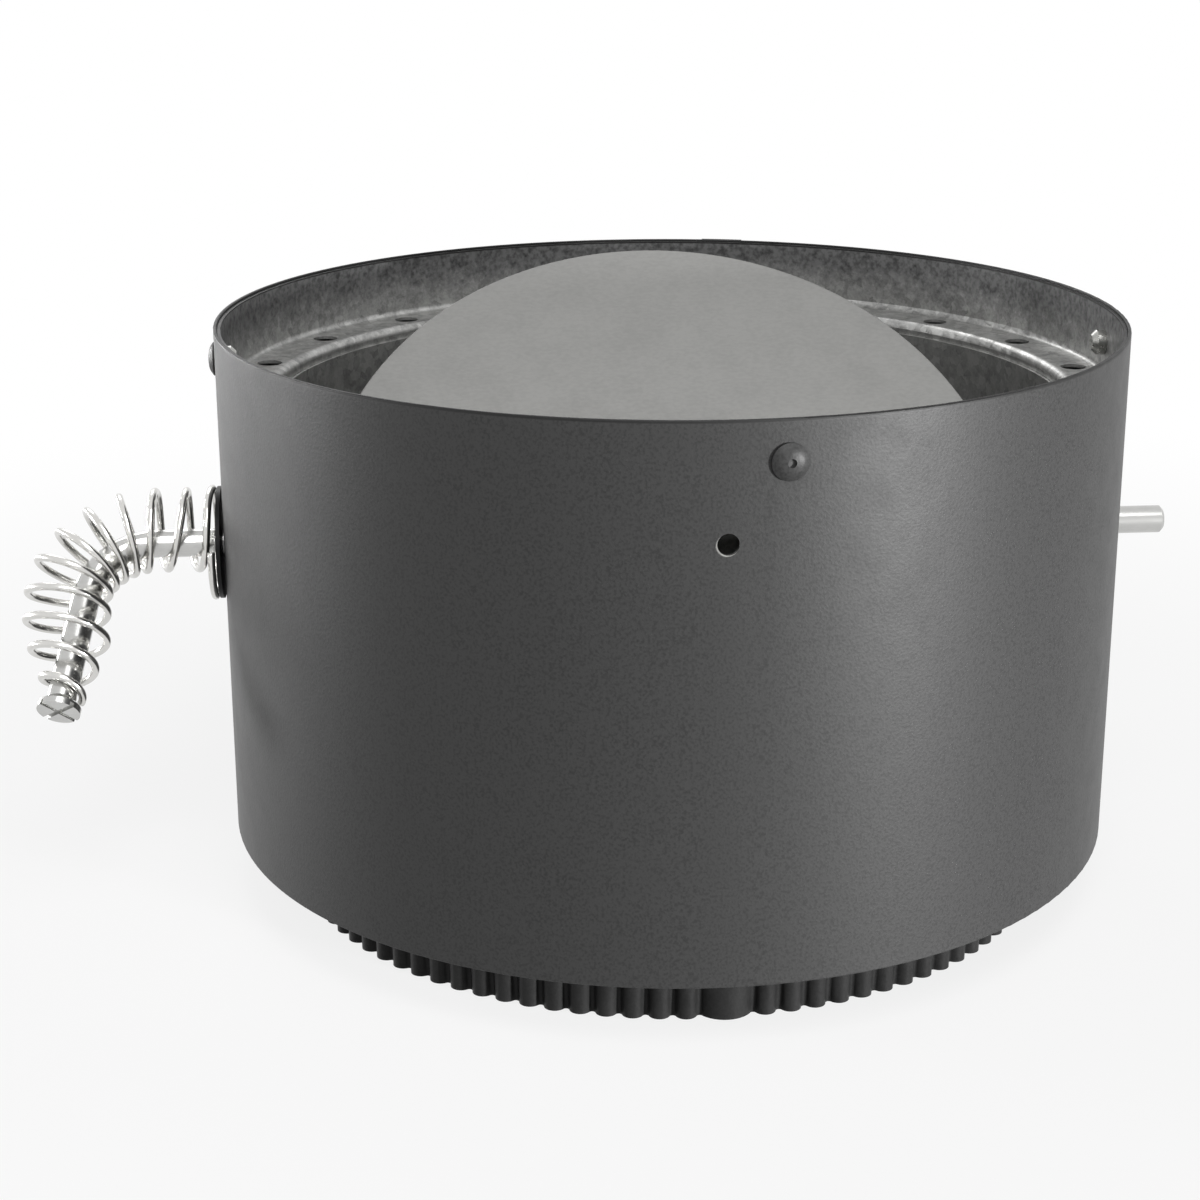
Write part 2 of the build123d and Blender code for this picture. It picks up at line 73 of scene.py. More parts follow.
def hex_colour(code: str) -> tuple[float, float, float, float]:
    """Turns an sRGB hex colour into the linear colour that shaders use.

    Args:
        code: The colour, such as "#4a4a4a".

    Returns:
        Linear red, green, blue and an alpha of 1.
    """
    channels = []
    for start in (1, 3, 5):
        value = int(code[start:start + 2], 16) / SRGB_TOP
        if value <= SRGB_LINE_ENDS:
            channels.append(value / SRGB_LINE_SLOPE)
        else:
            channels.append(((value + SRGB_SHIFT) / (1 + SRGB_SHIFT)) ** SRGB_POWER)
    return channels[0], channels[1], channels[2], 1.0


def add_node(
    tree: bpy.types.NodeTree,
    kind: str,
    values: dict[str | int, object] | None = None,
    links: dict[str | int, bpy.types.NodeSocket] | None = None,
    **settings: object,
) -> bpy.types.Node:
    """Adds one shader node.

    Args:
        tree: The node tree that takes it.
        kind: Blender's name of the node's class.
        values: Input name or number, and the value set on that socket.
        links: Input name or number, and the output socket that feeds it.
        settings: The node's own properties, such as an operation.

    Returns:
        The new node.
    """
    node = tree.nodes.new(kind)
    for name, value in settings.items():
        setattr(node, name, value)
    for key, value in (values or {}).items():
        node.inputs[key].default_value = value
    for key, socket in (links or {}).items():
        tree.links.new(socket, node.inputs[key])
    return node


def per_metre(size_mm: float) -> float:
    """The texture scale whose pattern repeats about once in that many millimetres."""
    return 1 / (size_mm * MM)


@dataclass(frozen=True)
class Zone:
    """Where a finish shows: not at all at one measure and fully at another, in millimetres.

    The ragged fields say how far its edge wanders, and over what length.
    """

    none_at: float
    full_at: float
    ragged_mm: float = 0.0
    ragged_size_mm: float = 4.0

    def measure(self, tree: bpy.types.NodeTree, place: bpy.types.NodeSocket) -> bpy.types.NodeSocket:
        """The measure that decides, in metres.

        Args:
            tree: The material's node tree.
            place: The place on the surface, in metres.

        Returns:
            A value socket.
        """
        raise NotImplementedError

    def share(self, tree: bpy.types.NodeTree, place: bpy.types.NodeSocket) -> bpy.types.NodeSocket:
        """How much of the finish shows.

        Args:
            tree: The material's node tree.
            place: The place on the surface, in metres.

        Returns:
            A value socket, from 0 to 1.
        """
        wander = add_node(
            tree,
            "ShaderNodeTexNoise",
            {"Scale": per_metre(self.ragged_size_mm), **EDGE_NOISE},
            {"Vector": place},
        )
        # The noise's middle, a half, moves the measure by ragged_mm, and so both ends move by that too.
        moved = add_node(
            tree,
            "ShaderNodeMath",
            {1: 2 * self.ragged_mm * MM},
            {0: wander.outputs["Fac"], 2: self.measure(tree, place)},
            operation="MULTIPLY_ADD",
        )
        shown = add_node(
            tree,
            "ShaderNodeMapRange",
            {
                "From Min": (self.none_at + self.ragged_mm) * MM,
                "From Max": (self.full_at + self.ragged_mm) * MM,
            },
            {"Value": moved.outputs["Value"]},
            interpolation_type="SMOOTHSTEP",
        )
        return shown.outputs["Result"]


@dataclass(frozen=True)
class HeightZone(Zone):
    """A zone by height above the frame's origin."""

    def measure(self, tree: bpy.types.NodeTree, place: bpy.types.NodeSocket) -> bpy.types.NodeSocket:
        """The height."""
        return add_node(tree, "ShaderNodeSeparateXYZ", links={"Vector": place}).outputs["Z"]


@dataclass(frozen=True)
class RadiusZone(Zone):
    """A zone by distance from the flue axis."""

    def measure(self, tree: bpy.types.NodeTree, place: bpy.types.NodeSocket) -> bpy.types.NodeSocket:
        """The distance from the flue axis.

        Args:
            tree: The material's node tree.
            place: The place on the surface, in metres.

        Returns:
            A value socket.
        """
        flat = add_node(tree, "ShaderNodeVectorMath", {1: (1.0, 1.0, 0.0)}, {0: place}, operation="MULTIPLY")
        length = add_node(tree, "ShaderNodeVectorMath", links={0: flat.outputs["Vector"]}, operation="LENGTH")
        return length.outputs["Value"]


@dataclass(frozen=True, kw_only=True)
class SpotZone(Zone):
    """A zone by distance from a point, given in millimetres."""

    middle: tuple[float, float, float]

    def measure(self, tree: bpy.types.NodeTree, place: bpy.types.NodeSocket) -> bpy.types.NodeSocket:
        """The distance from the point.

        Args:
            tree: The material's node tree.
            place: The place on the surface, in metres.

        Returns:
            A value socket.
        """
        point = tuple(part * MM for part in self.middle)
        away = add_node(tree, "ShaderNodeVectorMath", {1: point}, {0: place}, operation="DISTANCE")
        return away.outputs["Value"]


class Blend(Enum):
    """What a Mix node blends: its data type, and the numbers of its first input and of its result."""

    COLOUR = ("RGBA", 6, 2)
    VALUE = ("FLOAT", 2, 0)


@dataclass(frozen=True)
class Look:
    """What a finish gives the shader, its relief as a height in metres."""

    colour: bpy.types.NodeSocket
    metallic: float | bpy.types.NodeSocket
    roughness: bpy.types.NodeSocket
    height: bpy.types.NodeSocket

    def under(self, tree: bpy.types.NodeTree, over: Look, share: bpy.types.NodeSocket) -> Look:
        """Lays another look over this one.

        Args:
            tree: The material's node tree.
            over: The look over it.
            share: How much of that look shows, from 0 to 1.

        Returns:
            The two together.
        """
        mixed = {}
        for name, mine in vars(self).items():
            other = getattr(over, name)
            if isinstance(mine, float) and mine == other:
                mixed[name] = mine
                continue
            blend = Blend.COLOUR if name == "colour" else Blend.VALUE
            kind, first, result = blend.value
            values = {}
            links = {0: share}
            for key, part in ((first, mine), (first + 1, other)):
                inputs = values if isinstance(part, float) else links
                inputs[key] = part
            mixed[name] = add_node(tree, "ShaderNodeMix", values, links, data_type=kind).outputs[result]
        return Look(**mixed)


@dataclass(frozen=True)
class Finish:
    """What a surface is made of and how it was finished.

    The base and dark colours are sRGB hex. The millimetres of mottle, grain and relief are the size of the
    cloudy patches, the size of the finest marks and how deep those marks are. Mottle and grain alone are how
    far the patches and the marks go from the base to the dark colour. Specular is the shader's level, whose
    0.5 is that of a plain gloss. Over the finish lie any others, each in its own zone.
    """

    name: str
    base: str
    dark: str
    metallic: float
    roughness: float
    roughness_spread: float
    mottle_mm: float
    mottle: float
    grain_mm: float
    grain: float
    relief_mm: float
    specular: float = 0.5
    over: tuple[tuple[Finish, Zone], ...] = ()

    def patches(self, tree: bpy.types.NodeTree, place: bpy.types.NodeSocket) -> bpy.types.NodeSocket:
        """The cloudy patches, from 0 to 1.

        Args:
            tree: The material's node tree.
            place: The place on the surface, in metres.

        Returns:
            A value socket.
        """
        noise = add_node(
            tree,
            "ShaderNodeTexNoise",
            {"Scale": per_metre(self.mottle_mm), **CLOUD_NOISE},
            {"Vector": place},
        )
        return noise.outputs["Fac"]

    def marks(self, tree: bpy.types.NodeTree, place: bpy.types.NodeSocket) -> bpy.types.NodeSocket:
        """The finest marks, from 0 to 1.

        Args:
            tree: The material's node tree.
            place: The place on the surface, in metres.

        Returns:
            A value socket.
        """
        noise = add_node(
            tree,
            "ShaderNodeTexNoise",
            {"Scale": per_metre(self.grain_mm), **GRAIN_NOISE},
            {"Vector": place},
        )
        return noise.outputs["Fac"]

    def look(self, tree: bpy.types.NodeTree, place: bpy.types.NodeSocket) -> Look:
        """Makes what the shader needs, with the finishes over it.

        Args:
            tree: The material's node tree.
            place: The place on the surface, in metres.

        Returns:
            The look.
        """
        patches = self.patches(tree, place)
        marks = self.marks(tree, place)
        cloud = add_node(
            tree,
            "ShaderNodeMapRange",
            {**CLOUD_SPAN, "To Min": 0.0, "To Max": self.mottle},
            {"Value": patches},
        )
        speck = add_node(
            tree,
            "ShaderNodeMapRange",
            {**GRAIN_SPAN, "To Min": -self.grain, "To Max": self.grain},
            {"Value": marks},
        )
        share = add_node(
            tree,
            "ShaderNodeMath",
            links={0: cloud.outputs["Result"], 1: speck.outputs["Result"]},
            operation="ADD",
            use_clamp=True,
        )
        kind, first, result = Blend.COLOUR.value
        colour = add_node(
            tree,
            "ShaderNodeMix",
            {first: hex_colour(self.base), first + 1: hex_colour(self.dark)},
            {0: share.outputs["Value"]},
            data_type=kind,
        )
        dullness = add_node(
            tree,
            "ShaderNodeMapRange",
            {
                **CLOUD_SPAN,
                "To Min": self.roughness - self.roughness_spread,
                "To Max": self.roughness + self.roughness_spread,
            },
            {"Value": patches},
        )
        height = add_node(tree, "ShaderNodeMath", {1: self.relief_mm * MM}, {0: marks}, operation="MULTIPLY")
        look = Look(
            colour=colour.outputs[result],
            metallic=self.metallic,
            roughness=dullness.outputs["Result"],
            height=height.outputs["Value"],
        )
        for finish, zone in self.over:
            look = look.under(tree, finish.look(tree, place), zone.share(tree, place))
        return look

    def material(self) -> bpy.types.Material:
        """Makes the finish's material.

        Returns:
            The material, named for the real one.
        """
        material = bpy.data.materials.new(self.name)
        material.use_nodes = True
        tree = material.node_tree
        tree.nodes.clear()
        look = self.look(tree, add_node(tree, "ShaderNodeTexCoord").outputs["Object"])
        relief = add_node(tree, "ShaderNodeBump", {"Strength": 1.0, "Distance": 1.0}, {"Height": look.height})
        values = {"Specular IOR Level": self.specular}
        links = {"Base Color": look.colour, "Roughness": look.roughness, "Normal": relief.outputs["Normal"]}
        inputs = values if isinstance(look.metallic, float) else links
        inputs["Metallic"] = look.metallic
        shader = add_node(tree, "ShaderNodeBsdfPrincipled", values, links)
        add_node(tree, "ShaderNodeOutputMaterial", links={"Surface": shader.outputs["BSDF"]})
        return material


@dataclass(frozen=True, kw_only=True)
class SpangledFinish(Finish):
    """Sheet dipped in molten metal, whose coat sets in small flat crystals."""

    crystal_mm: float
    crystal_share: float

    def patches(self, tree: bpy.types.NodeTree, place: bpy.types.NodeSocket) -> bpy.types.NodeSocket:
        """The coat's crystals, each its own shade, under cloudy stains.

        Args:
            tree: The material's node tree.
            place: The place on the surface, in metres.

        Returns:
            A value socket.
        """
        cloud = super().patches(tree, place)
        wobble = add_node(
            tree,
            "ShaderNodeTexNoise",
            {"Scale": per_metre(self.crystal_mm), **CRYSTAL_NOISE},
            {"Vector": place},
        )
        bent = add_node(
            tree,
            "ShaderNodeVectorMath",
            {"Scale": self.crystal_mm * MM},
            {0: wobble.outputs["Color"]},
            operation="SCALE",
        )
        moved = add_node(
            tree,
            "ShaderNodeVectorMath",
            links={0: place, 1: bent.outputs["Vector"]},
            operation="ADD",
        )
        crystals = add_node(
            tree,
            "ShaderNodeTexVoronoi",
            {"Scale": per_metre(self.crystal_mm)},
            {"Vector": moved.outputs["Vector"]},
        )
        shade = add_node(tree, "ShaderNodeSeparateColor", links={"Color": crystals.outputs["Color"]})
        kind, first, result = Blend.VALUE.value
        mixed = add_node(
            tree,
            "ShaderNodeMix",
            {0: self.crystal_share},
            {first: cloud, first + 1: shade.outputs["Red"]},
            data_type=kind,
        )
        return mixed.outputs[result]


@dataclass(frozen=True, kw_only=True)
class RolledFinish(Finish):
    """Metal whose fine marks run one way, as rolling or drawing leaves them."""

    stretch: tuple[float, float, float]

    def marks(self, tree: bpy.types.NodeTree, place: bpy.types.NodeSocket) -> bpy.types.NodeSocket:
        """Fine lines, drawn out by the stretch along each axis.

        Args:
            tree: The material's node tree.
            place: The place on the surface, in metres.

        Returns:
            A value socket.
        """
        drawn = add_node(
            tree,
            "ShaderNodeMapping",
            {"Scale": tuple(1 / part for part in self.stretch)},
            {"Vector": place},
        )
        return super().marks(tree, drawn.outputs["Vector"])


# Bare edge of cut or drilled steel: bright, with a fine burr. The tool's marks are about 0.1 mm apart on the
# real thing and are drawn at 0.4 mm, so that they show.
CUT_STEEL = Finish(
    name="cut steel edge",
    base="#aeaeaa",
    dark="#747472",
    metallic=1.0,
    roughness=0.3,
    roughness_spread=0.08,
    mottle_mm=1.2,
    mottle=0.6,
    grain_mm=0.4,
    grain=0.15,
    relief_mm=0.02,
)

# Black stove paint: thin, dark and dull, so that the crimped collar's flutes stand out by the light alone.
# The washer behind the coil has it too. Its fine tooth is drawn at 0.5 mm, coarser than the real one.
COLLAR_PAINT = Finish(
    name="black stove paint",
    base="#232323",
    dark="#131313",
    metallic=0.0,
    roughness=0.45,
    roughness_spread=0.05,
    mottle_mm=7.0,
    mottle=0.7,
    grain_mm=0.5,
    grain=0.15,
    relief_mm=0.02,
    specular=0.12,
)

# Aluminised steel sheet: dull, silvery and cloudy. Its crystals are under a millimetre on the real thing and
# are drawn at 1.6 mm, so that they show.
ALUMINISED = SpangledFinish(
    name="aluminised steel sheet",
    base="#bcbcba",
    dark="#696968",
    metallic=0.75,
    roughness=0.34,
    roughness_spread=0.04,
    mottle_mm=5.0,
    mottle=0.7,
    grain_mm=0.6,
    grain=0.1,
    relief_mm=0.006,
    crystal_mm=1.6,
    crystal_share=0.3,
)

# A dark, speckled coat on the flange, fuller towards the rim, so that the inner wall is darker towards the
# rim.
# Its soft specks are about a millimetre, gathered in patches of two.
UPPER_FLANGE_DARKENING = Finish(
    name="dark coat towards the rim",
    base="#686868",
    dark="#383838",
    metallic=0.0,
    roughness=0.55,
    roughness_spread=0.05,
    mottle_mm=2.2,
    mottle=0.7,
    grain_mm=1.0,
    grain=0.4,
    relief_mm=0.02,
)

# Near black along the top edges of the shell and of the ring's flange: painted shade, standing in for the
# dark side of the rounded rim.
RIM_PAINTED_SHADE = Finish(
    name="painted rim shade",
    base="#141414",
    dark="#0c0c0c",
    metallic=0.0,
    roughness=0.5,
    roughness_spread=0.05,
    mottle_mm=3.0,
    mottle=0.5,
    grain_mm=0.5,
    grain=0.2,
    relief_mm=0.01,
)

# The ring's sheet, darker up its flange towards the rim.
RING_SHEET = replace(
    ALUMINISED,
    name="aluminised steel sheet darker towards the rim",
    specular=0.25,
    over=(
        (UPPER_FLANGE_DARKENING, HeightZone(none_at=56.5, full_at=68.0, ragged_mm=5.0, ragged_size_mm=2.4)),
        # Painted shade: the flange's top edge is near black.
        (RIM_PAINTED_SHADE, HeightZone(none_at=69.8, full_at=70.1)),
    ),
)

# Baked stove paint on steel: satin, charcoal, with the fine sandy speckle of a sprayed high-heat coat. Its
# speckle is about 0.3 mm on the real thing and is drawn at 0.5 mm, so that it shows. The sheet is bare
# inside, the top edge is near black with painted shade, and bare steel from the drill shows round the screw
# hole, set to its lower left as a painted highlight.
SHELL_PAINT = Finish(
    name="charcoal stove paint",
    base="#282828",
    dark="#101010",
    metallic=0.0,
    roughness=0.49,
    roughness_spread=0.03,
    mottle_mm=6.0,
    mottle=0.2,
    grain_mm=0.5,
    grain=0.4,
    relief_mm=0.03,
    specular=0.24,
    over=(
        (ALUMINISED, RadiusZone(none_at=87.25, full_at=87.0)),
        # Painted shade: the shell's top edge is near black.
        (RIM_PAINTED_SHADE, HeightZone(none_at=70.05, full_at=70.3)),
        # Bare steel of the drilled burr, set off to the hole's lower left: it is real, but its shape and
        # place are a painted highlight of the lit lower edge.
        (CUT_STEEL, SpotZone(none_at=1.98, full_at=1.6, middle=(-0.18, -87.5, 49.82))),
    ),
)

# Cold-rolled steel sheet: even, matte and light grey. Its rolling lines are under a tenth of a millimetre
# apart and are drawn at 0.6 mm, faintly, so that they show as a soft grain.
DISC_STEEL = RolledFinish(
    name="cold-rolled steel sheet",
    base="#80807e",
    dark="#6a6a69",
    metallic=0.6,
    roughness=0.52,
    roughness_spread=0.02,
    mottle_mm=10.0,
    mottle=0.25,
    grain_mm=0.6,
    grain=0.12,
    relief_mm=0.003,
    stretch=(2.0, 1.0, 1.0),
)

# Bright zinc plate on steel: silvery and slightly milky, over the faint lines of the drawn rod, which are
# drawn at 0.4 mm, coarser than the real ones.
ZINC_PLATE = RolledFinish(
    name="zinc plated steel",
    base="#c4c4c2",
    dark="#a2a2a1",
    metallic=1.0,
    roughness=0.2,
    roughness_spread=0.03,
    mottle_mm=5.0,
    mottle=0.3,
    grain_mm=0.4,
    grain=0.05,
    relief_mm=0.001,
    stretch=(12.0, 1.0, 1.0),
)

# Lighter paint in a rivet's dimple: the paint that part fills it, set lighter as painted light that takes out
# the deep hole's shade.
DIMPLE_FILL_AND_LIGHT = Finish(
    name="dimple paint, lightened",
    base="#3c3c3c",
    dark="#323232",
    metallic=0.0,
    roughness=0.6,
    roughness_spread=0.03,
    mottle_mm=1.0,
    mottle=0.5,
    grain_mm=0.5,
    grain=0.2,
    relief_mm=0.01,
)

# Aluminium blind rivets, painted over with the shell, whose tails inside stayed bare. The front one's dimple
# is part filled by the paint, and drawn lighter there with painted light against the hole's shade.
RIVET_METAL = replace(
    SHELL_PAINT,
    name="painted blind rivet",
    specular=0.22,
    over=(
        (CUT_STEEL, RadiusZone(none_at=87.2, full_at=86.9)),
        # Painted light: the front rivet's dimple is drawn lighter against its shade.
        (DIMPLE_FILL_AND_LIGHT, SpotZone(none_at=1.0, full_at=0.8, middle=(9.99, -87.68, 63.5))),
    ),
)

# Nickel plated spring wire: drawn, so it is smooth and bright. Its die marks are drawn at 0.4 mm, coarser
# than the real ones.
NICKEL_WIRE = Finish(
    name="nickel plated spring wire",
    base="#d6d5d2",
    dark="#b8b7b4",
    metallic=1.0,
    roughness=0.2,
    roughness_spread=0.03,
    mottle_mm=6.0,
    mottle=0.3,
    grain_mm=0.4,
    grain=0.05,
    relief_mm=0.001,
)


class Body(Enum):
    """The bodies that pieces ride on."""

    CASING = "casing"
    DAMPER = "damper"


class Slot(Enum):
    """The record's material slot that the new piece takes its finish from."""

    NICKEL_WIRE = "nickel_wire"


def dress(body: Body, names: tuple[str, ...], material: bpy.types.Material) -> None:
    """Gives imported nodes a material.

    Args:
        body: The body that they ride on.
        names: The nodes' names.
        material: The material that takes the place of the plain one.
    """
    for name in names:
        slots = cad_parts[name].data.materials
        slots.clear()
        slots.append(material)
        log.info("%s, %s: %s", body.value, name, material.name)


def add_piece(
    name: str,
    mesh: bpy.types.Mesh,
    material: bpy.types.Material,
    body: Body,
) -> bpy.types.Object:
    """Puts a mesh in the scene as a piece of the object.

    Args:
        name: The piece's name.
        mesh: Its mesh, in place.
        material: Its material.
        body: The body that it rides on.

    Returns:
        The new object.
    """
    mesh.materials.append(material)
    for polygon in mesh.polygons:
        polygon.use_smooth = True
    piece = bpy.data.objects.new(name, mesh)
    bpy.context.scene.collection.objects.link(piece)
    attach(piece, body.value)
    log.info("%s, %s: %s, %d faces", body.value, name, material.name, len(mesh.polygons))
    return piece


def swept_tube(name: str, path: list[Vector], radius: float, sides: int, end_round: float) -> bpy.types.Mesh:
    """A closed round tube along points, whose two ends are rounded over.

    Args:
        name: The mesh's name.
        path: The points of its middle line.
        radius: Its radius.
        sides: How many sides it has.
        end_round: How far its ends are drawn in where they are cut.

    Returns:
        The mesh.
    """
    ways = []
    for index in range(len(path)):
        before = path[max(index - 1, 0)]
        after = path[min(index + 1, len(path) - 1)]
        ways.append((after - before).normalized())
    side = ways[0].orthogonal().normalized()
    rings = []
    for point, way in zip(path, ways):
        side = (side - way * side.dot(way)).normalized()
        rings.append((point, way, side, radius))
    slim = radius - end_round
    point, way, side, _ = rings[0]
    rings.insert(0, (point - way * end_round, way, side, slim))
    point, way, side, _ = rings[-1]
    rings.append((point + way * end_round, way, side, slim))
    work = bmesh.new()
    loops = []
    for point, way, across, size in rings:
        up = way.cross(across)
        loop = []
        for step in range(sides):
            turn = 2 * pi * step / sides
            loop.append(work.verts.new(point + (across * cos(turn) + up * sin(turn)) * size))
        loops.append(loop)
    for before, after in zip(loops, loops[1:]):
        for step in range(sides):
            other = (step + 1) % sides
            work.faces.new((before[step], before[other], after[other], after[step]))
    work.faces.new(list(reversed(loops[0])))
    work.faces.new(loops[-1])
    mesh = bpy.data.meshes.new(name)
    work.to_mesh(mesh)
    work.free()
    return mesh


def smooth_share(share: float) -> float:
    """An S-shaped rise from 0 to 1."""
    share = min(max(share, 0.0), 1.0)
    return share * share * (3 - 2 * share)


@dataclass
class HandleCoil:
    """The wire coil round the bent end of the rod. Lengths are in millimetres, angles in degrees.

    It starts with part of a wide turn against the washer, narrows, runs level, goes round the bend and down
    the leg, and closes on the rod at the end. Its middle line is shifted from the rod's, and its turns lean.
    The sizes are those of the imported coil, whose place it takes.
    """

    body: Body = Body.DAMPER
    slot: Slot = Slot.NICKEL_WIRE
    # The rod that it is wound on, and the disc's angle at rest, from closed.
    rod_height: float = 26.9
    plate_angle: float = 40.5
    shell_radius: float = SHELL_RADIUS
    rod_radius: float = 2.75
    rod_corner_reach: float = 24.5
    rod_turn: float = 81.0
    # The wire, and the room between it and the rod: at the end, in the open turns and in the first turn.
    wire: float = 1.5
    end_gap: float = 0.3
    room: float = 4.15
    start_flare: float = 2.9
    # The first turn: its distance from the shell, its share of a full turn, its pitch, the angle at which it
    # ends, and the share of a turn in which the wire then narrows.
    start_place: float = 2.0
    start_turns: float = 0.75
    start_pitch: float = 0.2
    start_spin: float = 45.0
    narrowing_turns: float = 0.5
    # The open turns, and over how many of the last ones they close and come back to the rod's middle.
    level_pitch: float = 5.9
    level_turns: float = 2.1
    bend_pitch: float = 4.75
    bend_turns: float = 4.65
    leg_pitch: float = 6.2
    leg_turns: float = 3.7
    taper_turns: float = 2.3
    centring_turns: float = 4.25
    # The bend's radius, the shift off the rod, and how far the turns lean outwards and sideways.
    bend: float = 17.0
    shift_level: float = 3.1
    shift_leg: float = 3.7
    lean_level: tuple[float, float] = (0.015, -0.15)
    lean_leg: tuple[float, float] = (0.08, 0.19)
    # How fine the mesh is, and how far the wire's ends are rounded over.
    steps_per_turn: int = 56
    sides: int = 20
    end_round: float = 0.15

    def __post_init__(self) -> None:
        """Works out the sizes that follow from the others."""
        self.arc = radians(self.rod_turn)
        self.out = Vector((-1, 0, 0))
        self.down = Vector((0, -1, 0))
        self.side = self.out.cross(self.down)
        self.way = self.ahead(self.arc)
        self.turns = self.level_turns + self.bend_turns + self.leg_turns
        self.start = self.shell_radius + self.start_place
        self.radius = self.rod_radius + self.room + self.wire / 2
        self.start_radius = self.radius + self.start_flare
        self.end_radius = self.rod_radius + self.end_gap + self.wire / 2
        corner = self.shell_radius + self.rod_corner_reach
        corner += self.shift_leg / sin(self.arc) - self.shift_level / tan(self.arc)
        self.level = corner - self.bend * tan(self.arc / 2) - self.start

    def middle(self, along: float) -> tuple[Vector, float]:
        """The coil's own middle line.

        Args:
            along: The distance along it.

        Returns:
            The point there, and how far the bend has turned.
        """
        turn = min(max((along - self.level) / self.bend, 0.0), self.arc)
        start = self.out * self.start - self.down * self.shift_level
        if along <= self.level:
            return start + self.out * along, turn
        centre = start + self.out * self.level + self.down * self.bend
        past = max(along - self.level - self.bend * self.arc, 0.0)
        return centre + self.outward(turn) * self.bend + self.way * past, turn

    def ahead(self, turn: float) -> Vector:
        """The way along the middle line, once the bend has turned that far."""
        return self.out * cos(turn) + self.down * sin(turn)

    def outward(self, turn: float) -> Vector:
        """The way outwards of the bend, once it has turned that far."""
        return self.out * sin(turn) - self.down * cos(turn)

    def along(self, turns: float) -> float:
        """How far along its middle line the coil has come.

        Args:
            turns: The turns so far, counted from the end of the first, close one.

        Returns:
            The distance.
        """
        if turns <= 0:
            return self.start_pitch * (turns + self.start_turns)
        level = min(turns, self.level_turns)
        bend = min(max(turns - self.level_turns, 0), self.bend_turns)
        leg = max(turns - self.level_turns - self.bend_turns, 0)
        start = self.start_pitch * self.start_turns
        return start + self.level_pitch * level + self.bend_pitch * bend + self.leg_pitch * leg

    def point(self, turns: float) -> Vector:
        """The wire's own middle, with the disc level.

        Args:
            turns: The turns so far, counted from the end of the first, close one.

        Returns:
            The point there.
        """
        middle, turn = self.middle(self.along(turns))
        outward = self.outward(turn)
        ahead = self.ahead(turn)
        narrowing = smooth_share(turns / self.narrowing_turns)
        closing = smooth_share((turns - self.turns) / self.taper_turns + 1)
        centring = smooth_share((turns - self.turns) / self.centring_turns + 1)
        radius = self.start_radius + (self.radius - self.start_radius) * narrowing
        radius += (self.end_radius - self.radius) * closing
        recentre = self.shift_level * (1 - narrowing) + self.shift_leg * centring
        spin = radians(self.start_spin + 360 * turns)
        square = outward * cos(spin) + self.side * sin(spin)
        share = turn / self.arc
        lean_out, lean_side = (
            level + (leg - level) * share for level, leg in zip(self.lean_level, self.lean_leg)
        )
        lean = (lean_out * cos(spin) + lean_side * sin(spin)) * narrowing * (1 - closing)
        return middle - outward * recentre + (square + ahead * lean) * radius

    def build(self, material: bpy.types.Material) -> bpy.types.Object:
        """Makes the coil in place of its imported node.

        Args:
            material: The wire's material.

        Returns:
            The coil's object.
        """
        total = self.start_turns + self.turns
        steps = ceil(total * self.steps_per_turn)
        tilt = Matrix.Rotation(radians(self.plate_angle), 3, "X")
        lift = Vector((0, 0, self.rod_height))
        path = []
        for index in range(steps + 1):
            turns = -self.start_turns + total * index / steps
            path.append((tilt @ self.point(turns) + lift) * MM)
        mesh = swept_tube("handle_wire", path, self.wire / 2 * MM, self.sides, self.end_round * MM)
        piece = add_piece("handle_wire", mesh, material, self.body)
        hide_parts("handle_coil")
        return piece


@dataclass
class Casing:
    """The painted shell, the bare liner, the black collar, the ring, the clips and their rivets."""

    body: Body = Body.CASING
    shell_nodes: tuple[str, ...] = ("outer_shell",)
    shell_rivet_nodes: tuple[str, ...] = ("shell_rivets",)
    collar_nodes: tuple[str, ...] = ("stove_collar",)
    ring_nodes: tuple[str, ...] = ("top_spacer_ring",)
    sheet_nodes: tuple[str, ...] = (
        "inner_liner",
        "spacer_clip_front_right",
        "spacer_clip_rear_right",
        "spacer_clip_rear_left",
        "spacer_clip_front_left",
    )
    rivet_nodes: tuple[str, ...] = ("collar_rivets", "clip_rivets")

    def build(self, materials: dict[Finish, bpy.types.Material]) -> None:
        """Dresses the casing's nodes.

        Args:
            materials: The materials by finish.
        """
        dress(self.body, self.shell_nodes, materials[SHELL_PAINT])
        dress(self.body, self.shell_rivet_nodes, materials[RIVET_METAL])
        dress(self.body, self.ring_nodes, materials[RING_SHEET])
        dress(self.body, self.collar_nodes, materials[COLLAR_PAINT])
        dress(self.body, self.sheet_nodes, materials[ALUMINISED])
        dress(self.body, self.rivet_nodes, materials[ZINC_PLATE])


@dataclass
class Damper:
    """The disc, its straps and rivets, the rod with its washers, and the coiled handle."""

    body: Body = Body.DAMPER
    disc_nodes: tuple[str, ...] = ("damper_plate", "left_saddle_strap", "right_saddle_strap")
    rod_nodes: tuple[str, ...] = ("damper_rod", "saddle_rivets", "stop_washer", "rod_retainer")
    black_nodes: tuple[str, ...] = ("handle_washer",)

    def build(self, materials: dict[Finish, bpy.types.Material]) -> None:
        """Dresses the damper's nodes and makes its coil.

        Args:
            materials: The materials by finish.
        """
        dress(self.body, self.disc_nodes, materials[DISC_STEEL])
        dress(self.body, self.rod_nodes, materials[ZINC_PLATE])
        dress(self.body, self.black_nodes, materials[COLLAR_PAINT])
        HandleCoil().build(materials[NICKEL_WIRE])


